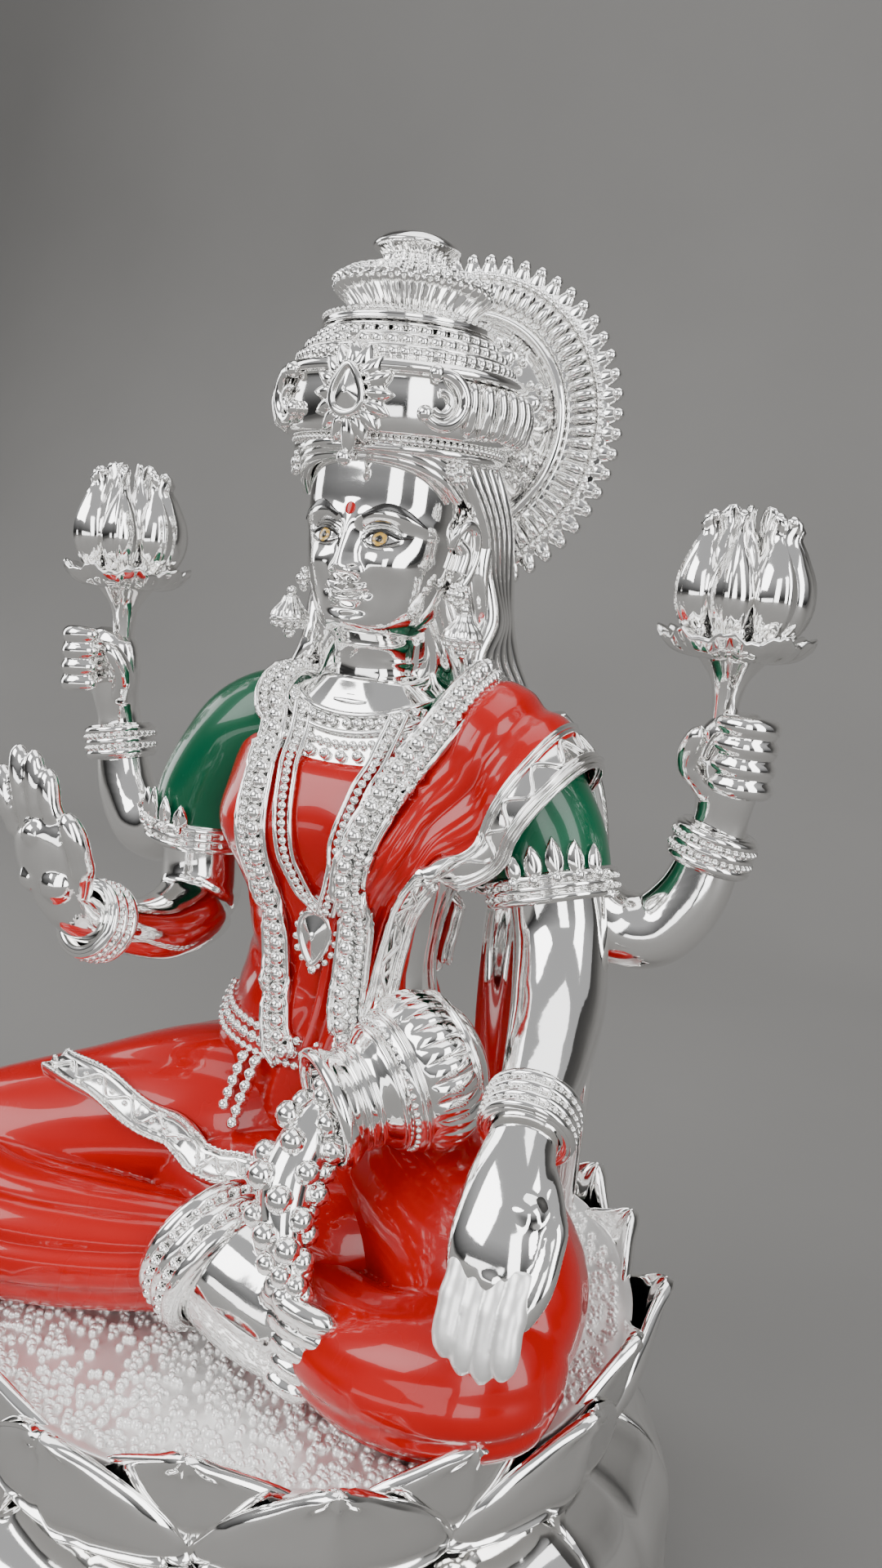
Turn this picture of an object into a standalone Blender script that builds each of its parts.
"""A silver-plated seated figurine of a four-armed goddess on a lotus pedestal, with red and green enamel.

Everything is drawn in millimetres and built in metres, +Z up. The figure faces -Y and its left side is +X.
The origin is the centre of the underside. Castings that meet keep the gap CLEARANCE.
"""

from math import cos, pi, radians, sin

import bmesh
import bpy
from mathutils import Vector

MM = 0.001
CLEARANCE = 0.5  # between neighbouring castings
GAP = 0.6  # between pieces that are turned to fit each other
AXIS_Y = 7.0  # the figure sits a little behind the pedestal's centre

# Pedestal, from the table up
FELT_TOP = 1.0
COVER_TOP = 3.0
FOOT_TOP = 9.0
FOOT_RADIUS = 53.0
LOWER_PETALS = 12
LOWER_PETAL_REACH = 59.0
WAIST_Z = 31.0
WAIST_RADIUS = 40.0
UPPER_PETALS = 10
PETAL_TIP_Z = 52.0
PETAL_TIP_RADIUS = 53.0
SEAT_Z = 46.0
SEAT_RADIUS = 44.5

# Figure
NECK_Z = 137.5
CROWN_Z = 170.5
TOP_Z = 200.0
HALO_CENTRE = Vector((2.0, 24.5, 177.0))
HALO_RADIUS = 26.5
HALO_LEAN = radians(7)

# Torso sections: height, centre y, half width, half depth
TORSO = [
    (48, 8.0, 21.0, 12.0),
    (60, 7.0, 22.5, 13.5),
    (72, 6.0, 21.5, 13.0),
    (84, 5.5, 17.5, 11.5),
    (94, 6.0, 14.2, 9.8),
    (102, 6.0, 14.6, 10.0),
    (110, 5.5, 16.6, 11.5),
    (118, 5.0, 18.2, 12.6),
    (125, 6.0, 18.6, 11.2),
    (131, 7.0, 17.0, 9.0),
    (135, 7.5, 11.5, 7.8),
    (NECK_Z, 7.5, 8.0, 7.2),
]
ROUNDNESS = 2.25  # superellipse power of the torso's sections

COLOURS = {
    # name: base colour, metallic, roughness
    "silver": ((0.90, 0.89, 0.87), 1.0, 0.12),
    "bright_silver": ((0.95, 0.94, 0.92), 1.0, 0.25),
    "red_enamel": ((0.62, 0.010, 0.006), 0.0, 0.12),
    "green_enamel": ((0.0, 0.13, 0.062), 0.0, 0.12),
    "steel": ((0.55, 0.55, 0.56), 1.0, 0.35),
    "felt": ((0.04, 0.04, 0.05), 0.0, 0.95),
}


def clear_scene():
    for old in list(bpy.data.objects):
        bpy.data.objects.remove(old)


def material(name):
    found = bpy.data.materials.get(name)
    if found:
        return found
    colour, metallic, roughness = COLOURS[name]
    made = bpy.data.materials.new(name)
    made.use_nodes = True
    shader = made.node_tree.nodes["Principled BSDF"]
    shader.inputs["Base Color"].default_value = (*colour, 1)
    shader.inputs["Metallic"].default_value = metallic
    shader.inputs["Roughness"].default_value = roughness
    return made


# ---------------------------------------------------------------- shape tools


def add_solid(name, points, faces, finish):
    """One closed mesh from points in millimetres, with its faces turned outwards."""
    mesh = bpy.data.meshes.new(name)
    mesh.from_pydata([tuple(Vector(p) * MM) for p in points], [], faces)
    shape = bmesh.new()
    shape.from_mesh(mesh)
    bmesh.ops.recalc_face_normals(shape, faces=shape.faces)
    if shape.calc_volume(signed=True) < 0:
        bmesh.ops.reverse_faces(shape, faces=shape.faces)
    shape.to_mesh(mesh)
    shape.free()
    mesh.shade_smooth()
    mesh.set_sharp_from_angle(angle=radians(40))
    mesh.materials.append(material(finish))
    obj = bpy.data.objects.new(name, mesh)
    bpy.context.scene.collection.objects.link(obj)
    return obj


def loft(name, rings, finish, closed=False):
    """A skin over rings of equal length. The ends are capped unless the last ring meets the first."""
    count = len(rings[0])
    points = [p for ring in rings for p in ring]
    faces = []
    spans = len(rings) if closed else len(rings) - 1
    for i in range(spans):
        a = i * count
        b = ((i + 1) % len(rings)) * count
        for j in range(count):
            k = (j + 1) % count
            faces.append((a + j, a + k, b + k, b + j))
    if not closed:
        faces.append(tuple(range(count)))
        faces.append(tuple(range(len(points) - 1, len(points) - 1 - count, -1)))
    return add_solid(name, points, faces, finish)


def smooth_row(rows, t):
    """A Catmull-Rom value through rows of numbers, t from 0 at the first to 1 at the last."""
    last = len(rows) - 1
    at = min(max(t, 0.0), 1.0) * last
    i = min(int(at), last - 1)
    f = at - i
    before, a, b, after = (rows[min(max(k, 0), last)] for k in (i - 1, i, i + 1, i + 2))
    return [
        0.5 * (2 * q + (r - p) * f + (2 * p - 5 * q + 4 * r - s) * f**2 + (3 * q - p - 3 * r + s) * f**3)
        for p, q, r, s in zip(before, a, b, after)
    ]


def limb(name, stations, finish, steps=10, sides=10, flat=(0, -1, 0), closed=False):
    """A tube through stations (x, y, z, half width, half thickness). The thickness lies towards flat."""
    rings = []
    samples = steps if closed else steps + 1
    for i in range(samples):
        if closed:
            loop = [stations[-1], *stations, stations[0], stations[1]]
            t = (1 + i * len(stations) / steps) / (len(loop) - 1)
            row = smooth_row(loop, t)
            ahead = smooth_row(loop, t + 0.004)
            back = smooth_row(loop, t - 0.004)
        else:
            row = smooth_row(stations, i / steps)
            ahead = smooth_row(stations, i / steps + 0.01)
            back = smooth_row(stations, i / steps - 0.01)
        along = (Vector(ahead[:3]) - Vector(back[:3])).normalized()
        side = along.cross(Vector(flat)).normalized()
        thick = side.cross(along)
        centre = Vector(row[:3])
        turn = [2 * pi * k / sides for k in range(sides)]
        rings.append([centre + side * row[3] * cos(a) + thick * row[4] * sin(a) for a in turn])
    return loft(name, rings, finish, closed)


def turned(name, profile, finish, centre=(0, 0, 0), axis=(0, 0, 1), steps=26, stretch=(1, 1)):
    """A round piece. profile is (radius, height) from bottom to top, closed on the axis or on itself."""
    turn = Vector((0, 0, 1)).rotation_difference(Vector(axis)).to_matrix()
    ring_shape = all(r > 0 for r, _ in profile)
    rings = []
    for k in range(steps):
        a = 2 * pi * k / steps
        spokes = [Vector((r * cos(a) * stretch[0], r * sin(a) * stretch[1], z)) for r, z in profile]
        rings.append([Vector(centre) + turn @ p for p in spokes])
    if ring_shape:
        return loft(name, rings, finish, closed=True)
    count = len(profile)
    inner = range(1, count - 1)
    points = [rings[0][0], rings[0][-1]]
    points += [rings[k][i] for k in range(steps) for i in inner]
    wide = len(inner)
    faces = []
    for k in range(steps):
        a = 2 + k * wide
        b = 2 + ((k + 1) % steps) * wide
        faces.append((0, b, a))
        faces.append((1, a + wide - 1, b + wide - 1))
        faces += [(a + i, b + i, b + i + 1, a + i + 1) for i in range(wide - 1)]
    return add_solid(name, points, faces, finish)


def baked(obj):
    """Applies the object's modifiers."""
    graph = bpy.context.evaluated_depsgraph_get()
    graph.update()
    mesh = bpy.data.meshes.new_from_object(obj.evaluated_get(graph))
    obj.modifiers.clear()
    obj.data = mesh


def combine(obj, others, operation="UNION"):
    """Joins others to obj, or cuts them from it."""
    for other in others:
        step = obj.modifiers.new("step", "BOOLEAN")
        step.operation = operation
        step.object = other
        step.solver = "MANIFOLD"
    baked(obj)
    return obj


def joined(obj, others):
    combine(obj, others)
    for other in others:
        bpy.data.objects.remove(other)
    return obj


def bored(obj, holes):
    combine(obj, holes, "DIFFERENCE")
    for hole in holes:
        bpy.data.objects.remove(hole)
    return obj


def grown(obj, by):
    """A hidden copy of obj, its surface moved outwards by that many millimetres."""
    mesh = obj.data.copy()
    shape = bmesh.new()
    shape.from_mesh(mesh)
    shape.normal_update()
    moves = [(v, v.normal * min(v.calc_shell_factor(), 2.2) * by * MM) for v in shape.verts]
    for v, move in moves:
        v.co += move
    shape.to_mesh(mesh)
    shape.free()
    cutter = bpy.data.objects.new("cutter_" + obj.name, mesh)
    cutter.hide_render = True
    cutter.display_type = "WIRE"
    bpy.context.scene.collection.objects.link(cutter)
    return cutter


def corners(obj):
    places = [v.co for v in obj.data.vertices]
    low = Vector([min(p[i] for p in places) for i in range(3)])
    high = Vector([max(p[i] for p in places) for i in range(3)])
    return low, high


def near(one, other):
    low_a, high_a = corners(one)
    low_b, high_b = corners(other)
    return all(low_a[i] < high_b[i] and low_b[i] < high_a[i] for i in range(3))


def keep_largest_body(obj):
    """Removes the offcuts that a cut leaves beside the piece."""
    shape = bmesh.new()
    shape.from_mesh(obj.data)
    left = set(shape.verts)
    groups = []
    while left:
        group = set()
        front = [left.pop()]
        while front:
            v = front.pop()
            group.add(v)
            linked = [e.other_vert(v) for e in v.link_edges]
            fresh = [w for w in linked if w in left]
            left.difference_update(fresh)
            front += fresh
        groups.append(group)
    groups.sort(key=len)
    for group in groups[:-1]:
        bmesh.ops.delete(shape, geom=list(group), context="VERTS")
    bmesh.ops.dissolve_degenerate(shape, dist=1e-6, edges=shape.edges)
    shape.to_mesh(obj.data)
    shape.free()


def fit_together(pieces):
    """Cuts each piece clear of the earlier ones that reach into its space."""
    cutters = [grown(piece, CLEARANCE) for piece in pieces]
    for i, piece in enumerate(pieces):
        neighbours = [cutter for cutter in cutters[:i] if near(piece, cutter)]
        if neighbours:
            combine(piece, neighbours, "DIFFERENCE")
            keep_largest_body(piece)
    for cutter in cutters:
        bpy.data.objects.remove(cutter)


# ---------------------------------------------------------------- pedestal


def petal_wave(angle, count, phase):
    """1 on a petal's middle line and 0 where two petals meet."""
    return abs(cos(count * (angle - phase) / 2)) ** 0.7


def petal_ring(name, outside, inside, count, phase, dip, steps):
    """A ring of petals cast in one. Both faces run from root to tips, shorter where two petals meet."""
    rings = []
    for k in range(steps):
        angle = 2 * pi * k / steps
        reach = 1 - dip * (1 - petal_wave(angle, count, phase))
        last = len(outside) - 1
        outline = [smooth_row(outside, reach * i / last) for i in range(last + 1)]
        outline += [smooth_row(inside, reach * i / last) for i in range(last, -1, -1)]
        rings.append([Vector((r * cos(angle), r * sin(angle), z)) for r, z in outline])
    return loft(name, rings, "silver", closed=True)


def pedestal():
    gap = GAP
    felt = turned("felt_pad", [(0, 0), (50, 0), (50, FELT_TOP), (0, FELT_TOP)], "felt", steps=29)
    cover_z = FELT_TOP + gap
    cover_profile = [(0, cover_z), (49, cover_z), (49, COVER_TOP), (0, COVER_TOP)]
    cover = turned("base_cover", cover_profile, "steel", steps=29)
    foot_profile = [
        (49 + gap, cover_z),
        (FOOT_RADIUS, cover_z),
        (FOOT_RADIUS + 0.8, 3.2),
        (FOOT_RADIUS, 5.2),
        (FOOT_RADIUS - 2.2, 6.0),
        (FOOT_RADIUS - 2.6, FOOT_TOP),
        (38, FOOT_TOP),
        (38, COVER_TOP + gap),
        (49 + gap, COVER_TOP + gap),
    ]
    foot = turned("foot_ring", foot_profile, "silver", steps=29)
    reach = LOWER_PETAL_REACH
    skirt_outside = [
        (WAIST_RADIUS, WAIST_Z - 2),
        (reach - 8, WAIST_Z - 3),
        (reach - 0.6, WAIST_Z - 11),
        (reach + 0.8, FOOT_TOP + 1.5),
    ]
    skirt_inside = [
        (WAIST_RADIUS - 2.6, WAIST_Z - 4),
        (WAIST_RADIUS + 2, WAIST_Z - 9.6),
        (WAIST_RADIUS + 5.4, 15),
        (WAIST_RADIUS + 7.4, FOOT_TOP + 1.5),
    ]
    skirt = petal_ring("lower_petals", skirt_outside, skirt_inside, LOWER_PETALS, radians(-2), 0.22, 48)
    core_profile = [
        (34, FOOT_TOP + gap),
        (46, FOOT_TOP + gap),
        (43.4, 15),
        (WAIST_RADIUS - 3.4, WAIST_Z - 6),
        (WAIST_RADIUS - 3.4, WAIST_Z - 2),
        (34, WAIST_Z - 2),
    ]
    core = turned("pedestal_core", core_profile, "silver", steps=29)
    waist_profile = [
        (33, WAIST_Z - 2 + gap),
        (WAIST_RADIUS - 4, WAIST_Z - 2 + gap),
        (WAIST_RADIUS - 1.6, WAIST_Z),
        (WAIST_RADIUS - 1.6, WAIST_Z + 1.4),
        (WAIST_RADIUS - 4, WAIST_Z + 2.4),
        (33, WAIST_Z + 2.4),
    ]
    waist = turned("waist_ring", waist_profile, "bright_silver", steps=29)
    tip = PETAL_TIP_RADIUS
    phase = radians(-56)
    cup_outside = [
        (WAIST_RADIUS, WAIST_Z + 2.8),
        (47, WAIST_Z + 5.5),
        (tip - 1.6, 43.5),
        (tip, PETAL_TIP_Z),
    ]
    cup_inside = [
        (WAIST_RADIUS - 1, WAIST_Z + 4.4),
        (46, WAIST_Z + 7),
        (tip - 3.4, 44),
        (tip - 1.8, PETAL_TIP_Z + 0.4),
    ]
    outer = petal_ring("outer_petals", cup_outside, cup_inside, UPPER_PETALS, phase, 0.34, 40)
    inner_outside = [
        (WAIST_RADIUS - 2, WAIST_Z + 4.8),
        (44.8, WAIST_Z + 7.4),
        (tip - 4.2, 44.4),
        (tip - 2.6, PETAL_TIP_Z + 1),
    ]
    inner_inside = [
        (WAIST_RADIUS - 3, WAIST_Z + 6.2),
        (43.6, WAIST_Z + 9),
        (tip - 6.2, 45),
        (tip - 4.6, PETAL_TIP_Z + 1.4),
    ]
    inner_phase = phase + pi / UPPER_PETALS
    inner = petal_ring("inner_petals", inner_outside, inner_inside, UPPER_PETALS, inner_phase, 0.32, 40)
    seat_profile = [
        (0, WAIST_Z + 2.8),
        (33, WAIST_Z + 2.8),
        (35.2, WAIST_Z + 5),
        (SEAT_RADIUS - 2.6, 42.4),
        (SEAT_RADIUS, SEAT_Z - 1),
        (SEAT_RADIUS - 1, SEAT_Z),
        (0, SEAT_Z + 0.4),
    ]
    seat = turned("seat_disc", seat_profile, "bright_silver", steps=29)
    return [felt, cover, foot, core, skirt, waist, seat, inner, outer]


# ---------------------------------------------------------------- body


def torso_row(z):
    """(centre y, half width, half depth) of the torso at a height."""
    for a, b in zip(TORSO, TORSO[1:]):
        if z <= b[0]:
            share = (z - a[0]) / (b[0] - a[0])
            i = TORSO.index(a)
            return smooth_row([row[1:] for row in TORSO], (i + max(share, 0)) / (len(TORSO) - 1))
    return list(TORSO[-1][1:])


def on_torso(angle, z, out=0.0):
    """A point on the torso. angle goes from the front to the figure's left, out is the way off its skin."""
    centre_y, wide, deep = torso_row(z)
    c = cos(angle)
    s = sin(angle)
    size = (abs(s) ** ROUNDNESS + abs(c) ** ROUNDNESS) ** (-1 / ROUNDNESS)
    return Vector(((wide + out) * s * size, centre_y - (deep + out) * c * size, z))


def torso():
    heights = [SEAT_Z + 1.0, 60, 72, 84, 94, 103, 112, 120, 127, 132, 135, NECK_Z]
    angles = [2 * pi * k / 24 for k in range(16)]
    body = loft("torso", [[on_torso(a, z) for a in angles] for z in heights], "silver")
    neck_rows = [(0, 130), (3.4, 130), (3.4, 139), (0, 139)]
    neck_socket = turned("socket", neck_rows, "silver", (0, 7.5, 0), steps=13)
    bolt_rows = [(0, 44), (2.7, 44), (2.7, 70), (0, 70)]
    bolt_socket = turned("socket", bolt_rows, "silver", (0, AXIS_Y, 0), steps=13)
    return bored(body, [neck_socket, bolt_socket])


def panel(name, rows, finish, thickness, columns=10, lift=CLEARANCE):
    """A sheet on the torso. rows are (height, angle of its right edge, angle of its left edge)."""
    rings = []
    for z, start, end in rows:
        angles = [start + (end - start) * j / columns for j in range(columns + 1)]
        under = [on_torso(a, z, lift) for a in angles]
        over = [on_torso(a, z, lift + thickness) for a in reversed(angles)]
        rings.append(under + over)
    return loft(name, rings, finish)


def drape_edge(z):
    """Where the drape's silver border starts, as an angle round the torso."""
    rows = [(86, 0.75), (96, 0.95), (104, 1.12), (110, 1.30), (118, 1.52), (126, 1.60), (131, 1.60)]
    for (z0, a0), (z1, a1) in zip(rows, rows[1:]):
        if z <= z1:
            return a0 + (a1 - a0) * (z - z0) / (z1 - z0)
    return rows[-1][1]


def clothes():
    heights = [87, 96, 105, 113, 120]
    rows = [(z, -1.35, drape_edge(z)) for z in heights]
    neckline = [(124, -0.95), (127.5, -0.35), (130.5, 0.55)]
    rows += [(z, a, drape_edge(z)) for z, a in neckline]
    drape = panel("sari_drape", rows, "red_enamel", 1.3, columns=7)
    edge_gap = 0.035
    edge_rows = [(z, a + edge_gap, a + 0.28) for z, _, a in rows]
    border = panel("sari_border", edge_rows, "silver", 2.0, columns=3)
    return [drape, border]


def head():
    rings = [
        # x, y, z, half width, half depth
        (0, 7.5, NECK_Z + CLEARANCE, 7.0, 6.6),
        (0, 7.6, 141, 6.5, 6.2),
        (0, 7.4, 144.5, 6.4, 6.6),
        (0, 6.2, 148.6, 9.2, 10.4),
        (0, 6.8, 154, 11.2, 11.9),
        (0, 7.4, 161, 12.0, 12.2),
        (0, 7.8, 168, 12.0, 12.0),
        (0, 8.0, 173, 11.0, 11.0),
        (0, 8.0, 176, 7.5, 7.5),
    ]
    skull = limb("head", rings, "silver", steps=10, sides=13)
    peg = turned("peg", [(0, 131), (3.0, 131), (3.0, 142), (0, 142)], "silver", (0, 7.5, 0), steps=13)
    return joined(skull, [peg])


def hair():
    rings = [
        (0.5, 14.5, 169.6, 15.0, 7.5),
        (0.5, 13.5, 162, 16.2, 9.0),
        (0.5, 13.0, 154, 16.0, 9.0),
        (0.5, 13.5, 147, 15.0, 8.5),
        (0.5, 14.5, 141, 15.5, 7.8),
        (0.5, 16.0, 134, 21.5, 6.8),
        (0.5, 17.5, 125, 21.0, 6.0),
        (0.5, 17.5, 114, 14.0, 4.6),
        (0.5, 17.0, 106, 6.0, 2.6),
    ]
    return limb("hair", rings, "silver", steps=8, sides=13)


def crown():
    gap = GAP
    centre = (0.5, 7.5, 0)
    band_profile = [
        (13.2, CROWN_Z),
        (15.6, CROWN_Z),
        (16.6, CROWN_Z + 1.5),
        (16.4, CROWN_Z + 3),
        (18.0, CROWN_Z + 4),
        (18.0, CROWN_Z + 9.5),
        (16.6, CROWN_Z + 10.5),
        (11.5, CROWN_Z + 10.5),
    ]
    band = turned("crown_band", band_profile, "silver", centre, steps=22, stretch=(1, 0.88))
    z = CROWN_Z + 10.5 + gap
    tier_profile = [
        (0, z),
        (15.2, z),
        (14.4, z + 1.4),
        (12.6, z + 3.6),
        (12.8, z + 4.6),
        (11.4, z + 5.4),
        (0, z + 5.4),
    ]
    tier = turned("crown_tier", tier_profile, "bright_silver", centre, steps=19)
    z += 5.4 + gap
    pot_profile = [
        (0, z),
        (8.2, z),
        (9.4, z + 1.8),
        (11.2, z + 4.4),
        (9.8, z + 6.0),
        (6.0, z + 7.2),
        (5.0, z + 8.2),
        (0, z + 8.2),
    ]
    pot = turned("crown_pot", pot_profile, "bright_silver", centre, steps=19)
    z += 8.2 + gap
    cap_profile = [(0, z), (4.8, z), (6.0, z + 1.0), (5.6, z + 1.9), (3.0, TOP_Z - 0.6), (0, TOP_Z)]
    cap = turned("crown_cap", cap_profile, "silver", centre, steps=14)
    crest_z = CROWN_Z + 6.5
    front = centre[1] - 18.0 * 0.88
    drops = [5.6 if k % 2 else 4.3 for k in range(20)]
    outline = []
    for k, r in enumerate(drops):
        turn = pi * k / 10
        outline.append(Vector((0.5 + r * sin(turn), 0, crest_z + 1.25 * r * cos(turn))))
    faces_y = (front - gap - 1.6, front - gap + 1.0)
    crest = loft("crown_crest", [[p + Vector((0, y, 0)) for p in outline] for y in faces_y], "silver")
    scrolls = []
    for side, name in ((1, "left"), (-1, "right")):
        angle = radians(38) * side
        out = Vector((sin(angle), -cos(angle) * 0.88, 0)).normalized()
        place = Vector((centre[0] + 18.4 * sin(angle), centre[1] - 18.4 * 0.88 * cos(angle), crest_z))
        rows = [(0, -0.8), (3.4, -0.8), (3.4, 0.4), (2.0, 1.0), (0, 1.0)]
        scrolls.append(turned(name + "_crown_scroll", rows, "silver", place, out, steps=13))
    return [band, tier, pot, cap, crest, *scrolls]


def halo():
    axis = Vector((0, -cos(HALO_LEAN), sin(HALO_LEAN)))
    r = HALO_RADIUS
    rows = [
        (0, -2.2),
        (r * 0.5, -2.0),
        (r * 0.95, -0.8),
        (r, 0.2),
        (r * 0.94, 1.0),
        (r * 0.76, 1.0),
        (r * 0.70, 2.0),
        (r * 0.62, 1.4),
        (r * 0.30, 0.2),
        (0, 0.0),
    ]
    disc = turned("halo", rows, "silver", HALO_CENTRE, axis, steps=29)
    centre_back = (HALO_CENTRE.x, HALO_CENTRE.y - 7, HALO_CENTRE.z - 1)
    peg = turned("peg", [(0, 0), (2.2, 0), (2.2, 8), (0, 8)], "silver", centre_back, (0, 1, 0), steps=10)
    return joined(disc, [peg])


# ---------------------------------------------------------------- arms


def fingers(name, knuckles, tips, thickness, bend, finish="silver"):
    """Four fingers: each goes from its knuckle to its tip, bowed by bend at its middle."""
    made = []
    for i, (root, tip) in enumerate(zip(knuckles, tips)):
        middle = (Vector(root) + Vector(tip)) / 2 + Vector(bend)
        rows = [
            (*root, thickness, thickness),
            (*middle, thickness, thickness * 0.95),
            (*tip, thickness * 0.62, thickness * 0.62),
        ]
        made.append(limb(f"{name}_{i}", rows, finish, steps=2, sides=6, flat=(0.1, -1, 0.2)))
    return made


def sleeves():
    right_rows = [
        (-14, 7.5, 130.5, 7.5, 7.5),
        (-21, 7.5, 126, 8.4, 8.4),
        (-26.5, 7, 117, 8.8, 8.6),
        (-28.2, 6.6, 110.5, 8.2, 8.2),
    ]
    left_rows = [
        (15, 7.5, 130.5, 7.5, 7.5),
        (22.5, 7.5, 127, 8.6, 8.6),
        (29.0, 6.6, 119, 8.9, 8.8),
        (31.8, 5.4, 112.5, 8.4, 8.4),
    ]
    right = limb("right_sleeve", right_rows, "green_enamel", steps=6, sides=11)
    left = limb("left_sleeve", left_rows, "green_enamel", steps=6, sides=11)
    return right, left


def front_arms():
    left_rows = [
        (32.0, 5.2, 111.4, 6.6, 6.6),
        (35.2, 2.6, 104, 6.3, 6.2),
        (37.6, -5.2, 97, 5.8, 5.6),
        (39.4, -14.5, 91.5, 4.7, 4.4),
        (40.0, -20.5, 88.2, 4.3, 3.8),
        (40.4, -27.0, 83.5, 5.4, 3.0),
        (40.8, -31.0, 78.4, 5.6, 2.8),
        (41.2, -32.6, 75.0, 5.0, 2.4),
    ]
    left = limb("left_front_arm", left_rows, "silver", steps=8, sides=8, flat=(0, -0.6, 0.8))
    knuckles = [(41.2 + dx, -31.8, 76.4) for dx in (-3.9, -1.3, 1.3, 3.7)]
    tips = [(42.0 + dx, -37.2, z) for dx, z in ((-3.6, 68.5), (-1.2, 66.6), (1.2, 66.2), (3.5, 67.8))]
    parts = fingers("left_finger", knuckles, tips, 1.5, (0, -0.6, 0.2))
    thumb_rows = [
        (44.0, -25.4, 84.2, 2.0, 1.8),
        (46.6, -29.6, 80.0, 1.9, 1.7),
        (46.2, -33.0, 74.6, 1.2, 1.1),
    ]
    parts.append(limb("left_thumb", thumb_rows, "silver", steps=4, sides=6))
    joined(left, parts)

    right_rows = [
        (-28.2, 6.4, 109.6, 6.2, 6.2),
        (-27.4, 6.4, 103, 6.2, 6.2),
        (-26.2, 3.6, 97.6, 6.2, 5.8),
        (-26.4, -6.0, 96.8, 5.6, 5.2),
        (-27.6, -15.5, 99.2, 4.4, 4.2),
        (-28.6, -20.8, 101.2, 4.0, 3.6),
        (-30.6, -24.4, 106.0, 5.2, 3.0),
        (-32.2, -25.4, 111.4, 5.4, 2.6),
        (-33.0, -25.2, 114.4, 4.8, 2.3),
    ]
    right = limb("right_front_arm", right_rows, "silver", steps=10, sides=8, flat=(0, -0.8, -0.6))
    knuckles = [(-33.0 + dx, -25.2, 113.2) for dx in (-3.8, -1.3, 1.3, 3.7)]
    tips = [(-35.4 + dx, -26.4, z) for dx, z in ((-3.6, 121.6), (-1.0, 124.8), (1.6, 124.4), (3.9, 122.2))]
    parts = fingers("right_finger", knuckles, tips, 1.45, (0, 0.5, 0))
    thumb_rows = [
        (-28.0, -24.2, 105.4, 2.0, 1.8),
        (-26.2, -25.6, 110.2, 1.8, 1.6),
        (-27.8, -26.4, 114.8, 1.2, 1.1),
    ]
    parts.append(limb("right_thumb", thumb_rows, "silver", steps=4, sides=6))
    joined(right, parts)
    return right, left


def rear_arm(side, name):
    rows = [
        (33.0, 9.5, 112.5, 4.6, 4.8),
        (38.5, 11.4, 107.8, 5.0, 5.2),
        (45.0, 12.8, 107.0, 5.2, 5.2),
        (49.6, 13.8, 113.5, 4.6, 4.6),
        (51.8, 14.2, 121.6, 3.9, 3.8),
        (52.4, 13.6, 127.4, 4.4, 3.6),
        (52.8, 12.6, 133.2, 5.0, 3.6),
        (52.6, 11.6, 137.4, 4.0, 3.0),
    ]
    arm = limb(name + "_rear_arm", [(x * side, *rest) for x, *rest in rows], "silver", steps=9, sides=8)
    parts = []
    for i in range(4):
        z = 137.4 - 2.5 * i
        curl = [(56.2, 11.4, z + 1.2), (57.8, 7.4, z + 1.4), (54.6, 5.0, z + 0.8), (51.4, 6.4, z)]
        rows = [(x * side, y, zz, 1.35, 1.35) for x, y, zz in curl]
        parts.append(limb(f"{name}_curl_{i}", rows, "silver", steps=3, sides=6, flat=(0, 0, 1)))
    thumb = [(49.6, 10.6, 129.5, 1.8, 1.8), (47.8, 8.4, 134.0, 1.7, 1.6), (49.8, 6.8, 138.4, 1.2, 1.2)]
    thumb_rows = [(x * side, *rest) for x, *rest in thumb]
    parts.append(limb(name + "_rear_thumb", thumb_rows, "silver", steps=4, sides=6))
    return joined(arm, parts)


def lotus(side, name):
    """The lotus bud that a raised hand holds: stem, saucer of spread petals and closed bud."""
    centre = (51.0 * side, 12.6, 0)
    rows = [
        (0, 131.0),
        (1.5, 131.4),
        (1.6, 143.0),
        (3.6, 145.4),
        (8.4, 147.8),
        (9.8, 149.2),
        (9.0, 150.0),
        (6.0, 150.6),
        (7.6, 153.0),
        (8.3, 156.6),
        (7.4, 160.4),
        (5.6, 163.2),
        (5.2, 165.6),
        (0, 164.6),
    ]
    return turned(name + "_lotus", rows, "silver", centre, steps=14)


def ring_on(name, centre, axis, inner, outer, width, finish="silver", steps=14):
    """A bangle or armlet."""
    edge = width / 2
    rows = [
        (inner, -edge),
        (outer - 0.5, -edge),
        (outer, -edge * 0.4),
        (outer, edge * 0.4),
        (outer - 0.5, edge),
        (inner, edge),
    ]
    return turned(name, rows, finish, centre, axis, steps=steps)


def jewellery_on_arms():
    made = []
    made.append(ring_on("left_armlet", (31.6, 5.8, 112.2), (0.30, -0.16, -0.9), 5.6, 9.7, 3.6))
    made.append(ring_on("right_armlet", (-28.3, 6.6, 110.4), (-0.06, 0, -1), 5.6, 9.4, 3.4))
    made.append(ring_on("left_front_bangles", (39.9, -18.6, 89.2), (0.1, -0.86, -0.48), 3.6, 6.4, 6.0))
    made.append(ring_on("right_front_bangles", (-28.2, -18.6, 100.4), (-0.16, -0.9, 0.36), 3.4, 5.8, 5.6))
    for side, name in ((1, "left"), (-1, "right")):
        centre = (51.4 * side, 14.1, 120.2)
        made.append(ring_on(name + "_rear_bangles", centre, (0.24 * side, 0.05, 0.96), 3.4, 5.9, 5.6))
    return made


# ---------------------------------------------------------------- legs and lap


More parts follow.
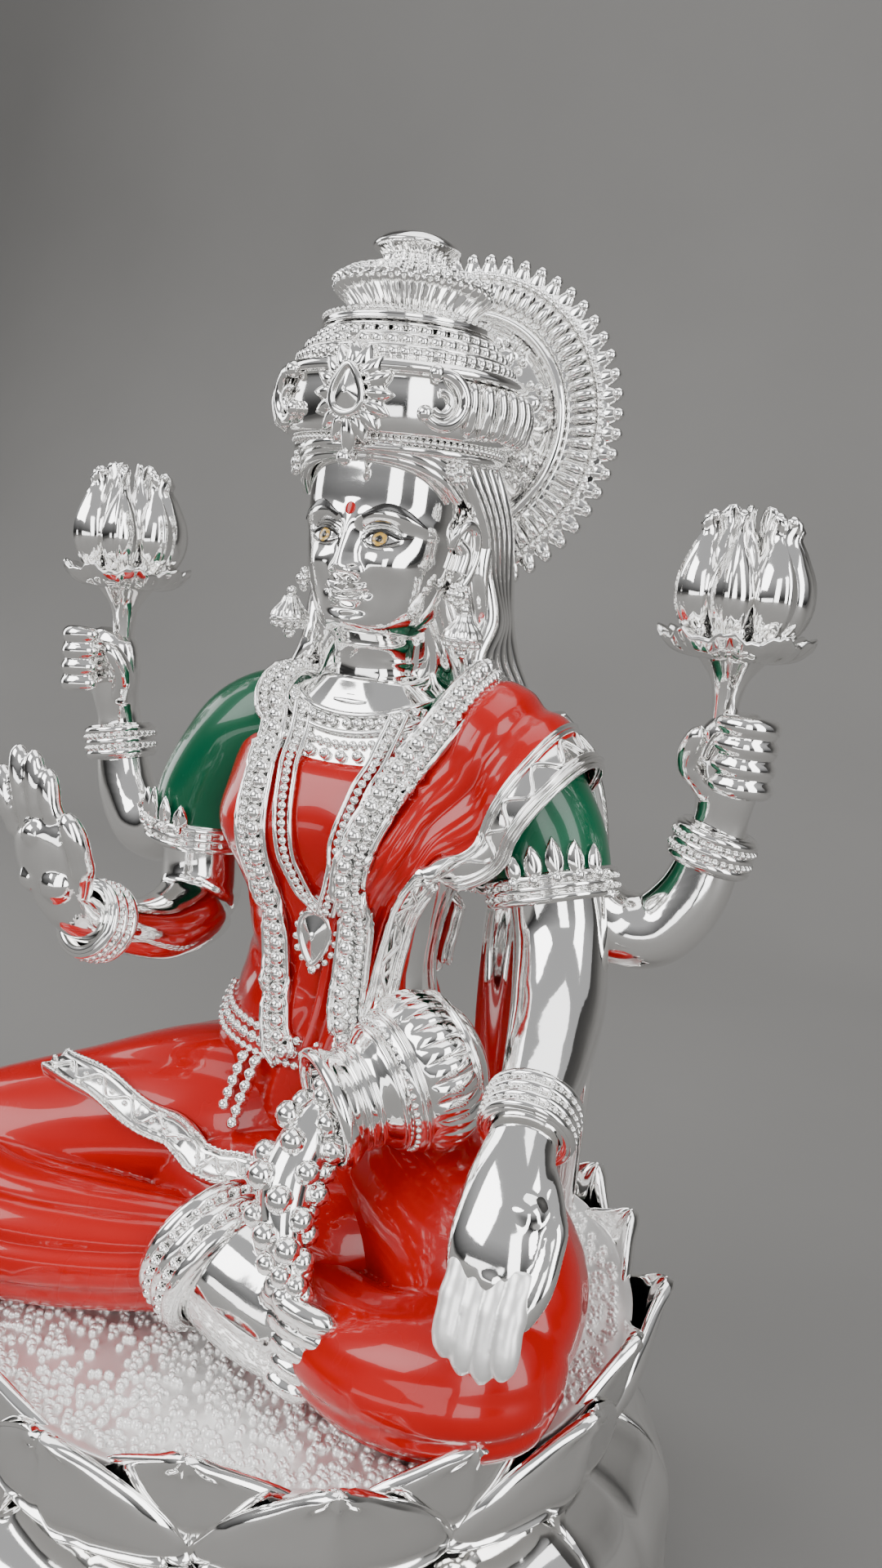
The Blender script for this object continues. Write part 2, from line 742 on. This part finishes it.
def leg(name, thigh_rows, shin_rows):
    thigh = limb(name, thigh_rows, "red_enamel", steps=6, sides=10, flat=(0, 0, 1))
    shin = limb(name + "_shin", shin_rows, "red_enamel", steps=6, sides=10, flat=(0, 0, 1))
    return joined(thigh, [shin])


def legs():
    right_thigh = [
        (-1, 8, 68, 14.0, 13.5),
        (-16, 0, 67.5, 15.5, 14.5),
        (-33, -10, 64.5, 14.0, 14.0),
        (-46, -18, 61, 12.0, 12.5),
        (-54, -22.5, 59, 6.5, 7.5),
    ]
    right_shin = [
        (-55, -20.5, 58, 6.0, 7.5),
        (-46, -26.5, 57.6, 10.5, 11.0),
        (-34, -28.3, 56.6, 10.4, 10.2),
        (-18, -24, 56.2, 9.0, 9.0),
        (-1.5, -20.5, 57.2, 6.4, 7.0),
    ]
    left_thigh = [
        (3, 8, 66, 13.5, 13.0),
        (16, 1, 65.8, 15.0, 14.2),
        (29, -7, 63.2, 14.4, 14.0),
        (38, -15.5, 61, 12.4, 13.2),
        (44.5, -21, 59.5, 6.0, 8.0),
    ]
    left_shin = [
        (45.5, -19, 57.5, 6.0, 8.0),
        (37.5, -24.5, 57, 10.0, 10.6),
        (26, -26.2, 55, 9.2, 8.8),
        (11, -20, 53.8, 8.0, 7.2),
        (0, -14, 53.6, 6.8, 6.4),
    ]
    return leg("right_leg", right_thigh, right_shin), leg("left_leg", left_thigh, left_shin)


def foot_and_anklet():
    rows = [
        (-2.2, -22.6, 58.0, 5.8, 6.4),
        (2.6, -23.8, 56.2, 6.2, 7.0),
        (7.2, -25.8, 53.6, 5.2, 6.0),
        (13.0, -27.6, 51.0, 4.0, 4.9),
        (18.2, -28.0, 49.4, 2.4, 4.4),
    ]
    foot = limb("right_foot", rows, "silver", steps=6, sides=8, flat=(0, -1, 0.3))
    toes = []
    for i in range(5):
        z = 53.2 - 1.35 * i
        y = -27.6 - 0.45 * i
        rows = [
            (16.6, y + 0.6, z, 1.0, 1.0),
            (19.4, y, z - 0.2, 1.0, 1.0),
            (21.4 - 0.3 * i, y - 0.2, z - 0.5, 0.7, 0.7),
        ]
        toes.append(limb(f"toe_{i}", rows, "silver", steps=3, sides=6, flat=(0, 0, 1)))
    joined(foot, toes)
    anklet = ring_on("anklet", (-1.2, -22.4, 57.6), (0.9, -0.3, -0.34), 4.4, 8.4, 4.6)
    return foot, anklet


def sari_fall():
    """The end of the sari, hanging from the left shoulder behind the arm down to the seat."""
    rows = [
        (24.5, 15.2, 133.5, 3.0, 1.6),
        (28.0, 18.4, 123, 5.0, 1.5),
        (29.4, 19.4, 107, 6.4, 1.4),
        (30.0, 19.6, 94, 6.8, 1.4),
        (29.8, 19.4, 80, 6.6, 1.4),
        (28.5, 19.0, 64, 6.0, 1.4),
        (27.5, 18.6, SEAT_Z + 2.5, 5.5, 1.3),
    ]
    return limb("sari_fall", rows, "silver", steps=8, sides=8)


def lap_pieces():
    band_rows = [
        (-37, -7, 79.2, 2.6, 1.2),
        (-30.5, -17, 78.0, 2.6, 1.2),
        (-17, -18.4, 72.6, 2.6, 1.2),
        (-7, -16.2, 69.4, 2.6, 1.2),
        (2.5, -14.6, 68.6, 2.4, 1.2),
    ]
    sash = limb("lap_sash", band_rows, "silver", steps=8, sides=6, flat=(0.1, -0.7, 0.7))
    mouth = Vector((12.5, -19.6, 83.4))
    back = Vector((24.0, -5.4, 88.6))
    axis = (mouth - back).normalized()
    rows = [
        (0, -2.5),
        (5.0, -1.8),
        (8.8, 1.2),
        (10.2, 5.0),
        (10.0, 8.6),
        (8.6, 11.4),
        (7.0, 14.0),
        (6.6, 17.0),
        (7.6, 19.4),
        (7.2, 20.4),
        (5.6, 20.0),
        (5.0, 16.5),
        (0, 16.0),
    ]
    pot = turned("money_pot", rows, "silver", back, axis, steps=16)
    stream_rows = [
        (12.6, -16.6, 83.0, 3.6, 3.6),
        (10.4, -21.6, 79.6, 4.8, 4.2),
        (10.2, -26.0, 74.4, 4.9, 3.4),
        (11.6, -28.4, 68.8, 4.3, 3.0),
        (13.2, -29.4, 63.6, 3.0, 2.6),
        (14.6, -29.8, 59.4, 1.6, 1.6),
    ]
    coins = limb("coin_stream", stream_rows, "silver", steps=6, sides=7)
    return sash, pot, coins


# ---------------------------------------------------------------- necklaces and earrings


def strand(name, places, radius, finish="bright_silver", steps=13, sides=6):
    """A necklace strand over the chest. places are (angle round the torso, height, distance off it)."""
    rows = [(*on_torso(a, z, out), radius, radius * 0.8) for a, z, out in places]
    return limb(name, rows, finish, steps=steps, sides=sides)


def necklaces():
    collar_rows = []
    for k in range(14):
        a = 2 * pi * k / 14
        front = (1 + cos(a)) / 2
        collar_rows.append((10.6 * sin(a), 7.5 - 9.4 * cos(a), 137.2 - 4.4 * front, 3.0, 2.8))
    collar = limb("collar", collar_rows, "bright_silver", steps=16, sides=6, flat=(0, 0, 1), closed=True)
    outer_right = [
        (-1.10, 133.0, 3.6),
        (-0.82, 127, 4.1),
        (-0.62, 117, 4.2),
        (-0.66, 106, 4.2),
        (-0.66, 96, 4.2),
        (-0.52, 88, 4.2),
    ]
    outer_left = [
        (1.10, 133.0, 3.6),
        (0.86, 127, 4.1),
        (0.62, 117, 4.2),
        (0.58, 106, 4.2),
        (0.66, 96, 4.2),
        (0.62, 90, 4.2),
    ]
    garlands = [strand("right_garland", outer_right, 2.3), strand("left_garland", outer_left, 2.3)]
    inner_half = [
        (0.62, 131.0, 3.3),
        (0.46, 124, 3.5),
        (0.31, 116, 3.5),
        (0.20, 109, 3.5),
        (0.0, 105.6, 3.6),
    ]
    other_half = [(-a, z, out) for a, z, out in reversed(inner_half[:-1])]
    chain = strand("long_necklace", inner_half + other_half, 1.5, steps=16)
    low = on_torso(0, 101.5, 4.0)
    pendant_rows = [(0, -4.6), (1.6, -3.2), (3.0, -0.4), (3.0, 1.6), (1.8, 3.0), (0, 3.4)]
    pendant = turned("pendant", pendant_rows, "silver", low, steps=13, stretch=(1, 0.6))
    return [collar, chain, *garlands, pendant]


def earring(side, name):
    rows = [(0, -5.2), (1.8, -4.6), (3.4, -2.2), (2.6, -0.4), (2.8, 1.0), (2.2, 3.0), (0, 3.6)]
    return turned(name + "_earring", rows, "bright_silver", (14.2 * side + 0.4, 4.4, 146.2), steps=11)


# ---------------------------------------------------------------- fasteners


def hold_down():
    """The screw that draws the figure down on the pedestal, with its washer under the cover's side."""
    screw_rows = [
        (0, COVER_TOP + 4.5),
        (4.2, COVER_TOP + 4.5),
        (4.2, COVER_TOP + 7),
        (2.1, COVER_TOP + 7),
        (2.1, 68),
        (0, 68),
    ]
    screw = turned("hold_down_screw", screw_rows, "steel", (0, AXIS_Y, 0), steps=13)
    washer_rows = [(2.5, COVER_TOP + 7.4), (9, COVER_TOP + 7.4), (9, COVER_TOP + 9), (2.5, COVER_TOP + 9)]
    washer = turned("hold_down_washer", washer_rows, "steel", (0, AXIS_Y, 0), steps=16)
    return screw, washer


def build():
    clear_scene()
    base = pedestal()
    screw, washer = hold_down()
    body = torso()
    skull = head()
    right_sleeve, left_sleeve = sleeves()
    lotuses = [lotus(1, "left"), lotus(-1, "right")]
    right_front, left_front = front_arms()
    right_leg, left_leg = legs()
    foot, anklet = foot_and_anklet()
    sash, pot, coins = lap_pieces()
    collar, chain, right_garland, left_garland, pendant = necklaces()
    pieces = [screw, washer, *base, body, skull, *crown(), pendant, pot, left_front, right_front]
    pieces += [*lotuses, right_sleeve, left_sleeve]
    pieces += [rear_arm(1, "left"), rear_arm(-1, "right"), *jewellery_on_arms()]
    pieces += [foot, anklet, coins, sash, collar, right_garland, left_garland, chain]
    pieces += [earring(1, "left"), earring(-1, "right"), *clothes(), right_leg, left_leg]
    pieces += [hair(), halo(), sari_fall()]
    fit_together(pieces)


build()
